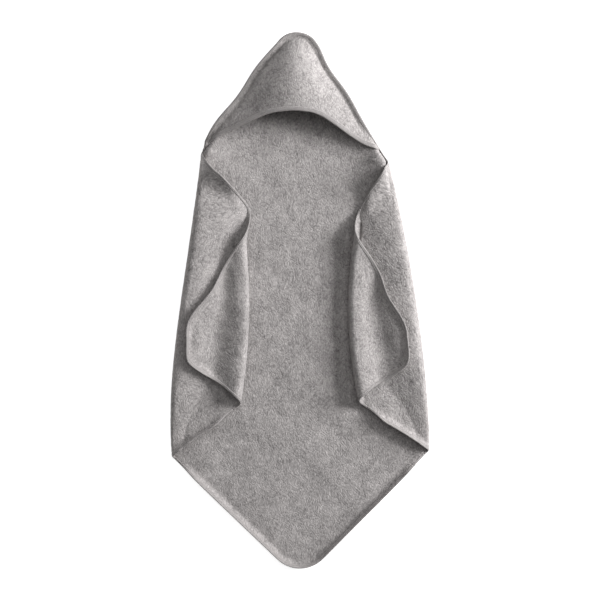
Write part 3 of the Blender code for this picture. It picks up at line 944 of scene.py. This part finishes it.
def stretch(test):
    """The runs of the outline where the test holds, as lists of indexes in order."""
    held = test(EDGE)
    starts = [i for i in range(len(EDGE)) if held[i] and not held[i - 1]]
    runs = []
    for start in starts:
        run = [start]
        while held[(run[-1] + 1) % len(EDGE)]:
            run.append((run[-1] + 1) % len(EDGE))
        run = [(run[0] - 1) % len(EDGE), *run]
        runs.append(run)
    return runs


def bound_edges():
    """Each stretch of tape: its name, its place on the outline and the pieces it belongs with."""
    found = [("Hood_Edge", "hood", lambda p: NECK.past(p) > 0)]
    found.append(("Tail_Edge", "tail", lambda p: p[:, 1] < SPLIT_Y))
    for side in (LEFT, RIGHT):
        wing, tip, flat, out = side.wing, side.tip, side.tip_flat, side.outward

        def past(p, side=side, wing=wing, flat=flat, tip=tip, out=out):
            body = (NECK.past(p) <= 0) & (p[:, 0] * out > 0)
            outer, inner = side.cuts(wing, wing)[0](p[:, 1]), side.cuts(flat, tip)[0](p[:, 1])
            return body, (p[:, 0] - outer) * out, (p[:, 0] - inner) * out

        def tip_edge(p, past=past):
            body, _, inner = past(p)
            return body & (inner > 0)

        def wing_edge(p, upper, past=past, side=side):
            body, outer, inner = past(p)
            return body & (outer > 0) & (inner <= 0) & ((p[:, 1] > CORNERS[side.name][1]) == upper)

        def centre_edge(p, past=past):
            body, outer, _ = past(p)
            return body & (outer <= 0) & (p[:, 1] > SPLIT_Y)

        name = side.name
        found.append((f"Tip_Edge_{name}", f"tip_{name}", tip_edge))
        found.append((f"Wing_Upper_Edge_{name}", f"wing_{name}", lambda p, f=wing_edge: f(p, True)))
        found.append((f"Wing_Lower_Edge_{name}", f"wing_{name}", lambda p, f=wing_edge: f(p, False)))
        found.append((f"Centre_Edge_{name}", "centre", centre_edge))
    return found


def make_edges():
    edges = {}
    for name, piece, test in bound_edges():
        for number, run in enumerate(stretch(test)):
            if len(run) < 3:
                continue
            points, normals = EDGE[run], EDGE_INWARD[run]
            surface, top = (hood_rim, RIM_TOP) if piece == "hood" else (sheet, TAPE_TOP)
            section = tape_section(TAPE_PLAN, top)
            label = name if number == 0 else f"{name}_{number}"
            tape = swept(f"{label}_Tape", points, normals, surface, section, TAPE_LOOK, "tape")
            thread = stitched(f"{label}_Stitches", points, normals, surface, TAPE_PLAN * 0.72, top)
            edges.setdefault(piece, []).extend((tape, thread))
    return edges


def make_mouth():
    """The tape and stitches of the hood's mouth."""
    xs = spaced(LEFT.neck[0] + 0.006, RIGHT.neck[0] - 0.008)
    points = np.column_stack((xs, mouth_y(xs)))
    way = np.gradient(points, axis=0)
    normals = np.column_stack((-way[:, 1], way[:, 0]))
    normals /= np.linalg.norm(normals, axis=1)[:, None]
    section = tape_section(MOUTH_TAPE, MOUTH_TOP_FACE)
    where = (points, normals, hood_front)
    tape = swept("Hood_Mouth_Tape", *where, section, TAPE_LOOK, "tape", inside_seams)
    thread = stitched("Hood_Mouth_Stitches", *where, MOUTH_TAPE * 0.78, MOUTH_TOP_FACE, inside_seams)
    return [tape, thread]


# ---- Putting it together ----


def follow(pieces, extras, key):
    for piece in [pieces[key], *extras.get(key, [])]:
        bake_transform(piece)


def build():
    pieces = make_body()
    pieces["hood_front"] = make_hood_front()
    edges = make_edges()
    edges["hood_front"] = make_mouth()
    for piece in (pieces["hood_front"], *edges["hood_front"], *edges["hood"]):
        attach(piece, "hood")
    follow(pieces, edges, "centre")
    follow(pieces, edges, "tail")
    for side in (LEFT, RIGHT):
        name = side.name
        follow(pieces, edges, f"wing_{name}")
        follow(pieces, edges, f"tip_{name}")
    return pieces, edges


def replace_nodes(pieces, edges):
    nodes = frame["record"]["behaviour"]["bodies"]
    for body, names in nodes.items():
        for node in names:
            if node.startswith("hood_front"):
                owner = pieces["hood_front"]
            elif "panel" in node:
                owner = pieces["centre" if body == "hood" else body]
            elif "mouth" in node:
                owner = edges["hood_front"][0 if "binding" in node else 1]
            else:
                owners = edges[body]
                kind = "Tape" if "binding" in node else "Stitches"
                word = "Upper" if "upper" in node else "Lower" if "lower" in node else ""
                side = "left" if node.endswith("left") else "right" if node.endswith("right") else ""
                owner = next(o for o in owners if kind in o.name and word in o.name and side in o.name)
            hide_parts(node)


LENS, SENSOR = 85, 36
VIEW_WIDTH = 1.212  # how much of the towel's level the camera takes in


def light_and_camera():
    scene = bpy.context.scene
    world = bpy.data.worlds.new("Studio")
    scene.world = world
    world.use_nodes = True
    world.node_tree.nodes["Background"].inputs[0].default_value = (1, 1, 1, 1)
    world.node_tree.nodes["Background"].inputs[1].default_value = 0.18

    def area(name, place, target, size, power):
        lamp = bpy.data.lights.new(name, "AREA")
        lamp.size = size
        lamp.energy = power
        lamp.shape = "SQUARE"
        light = bpy.data.objects.new(name, lamp)
        scene.collection.objects.link(light)
        light.location = place
        way = Vector(target) - Vector(place)
        light.rotation_euler = way.to_track_quat("-Z", "Y").to_euler()

    area("Key", (2.8, 1.00, 1.35), (0, 0, 0), 1.4, 178)
    area("Overhead", (0.3, 1.3, 2.7), (0, 0, 0), 2.2, 20)

    scene.view_settings.view_transform = "Standard"
    bpy.ops.mesh.primitive_plane_add(size=1, location=(0, 0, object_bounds()[0][2] - 0.0002))
    floor = bpy.context.object
    floor.name = "Floor"
    floor.scale = (30, 30, 1)
    graph = Graph("Studio_White")
    graph.shader.inputs["Base Color"].default_value = (0.93, 0.93, 0.93, 1)
    graph.shader.inputs["Roughness"].default_value = 0.9
    graph.shader.inputs["Emission Color"].default_value = (1, 1, 1, 1)
    graph.shader.inputs["Emission Strength"].default_value = 0.75
    floor.data.materials.append(graph.material)

    camera = bpy.data.cameras.new("Camera")
    camera.lens = LENS
    camera.sensor_width = SENSOR
    eye = bpy.data.objects.new("Camera", camera)
    scene.collection.objects.link(eye)
    eye.location = (-0.001, 0.001, VIEW_WIDTH * LENS / SENSOR + 0.015)
    scene.camera = eye


pieces, edges = build()
replace_nodes(pieces, edges)
for key, piece in pieces.items():
    below = ["table"] if key in ("centre", "tail") else [pieces["centre"]]
light_and_camera()
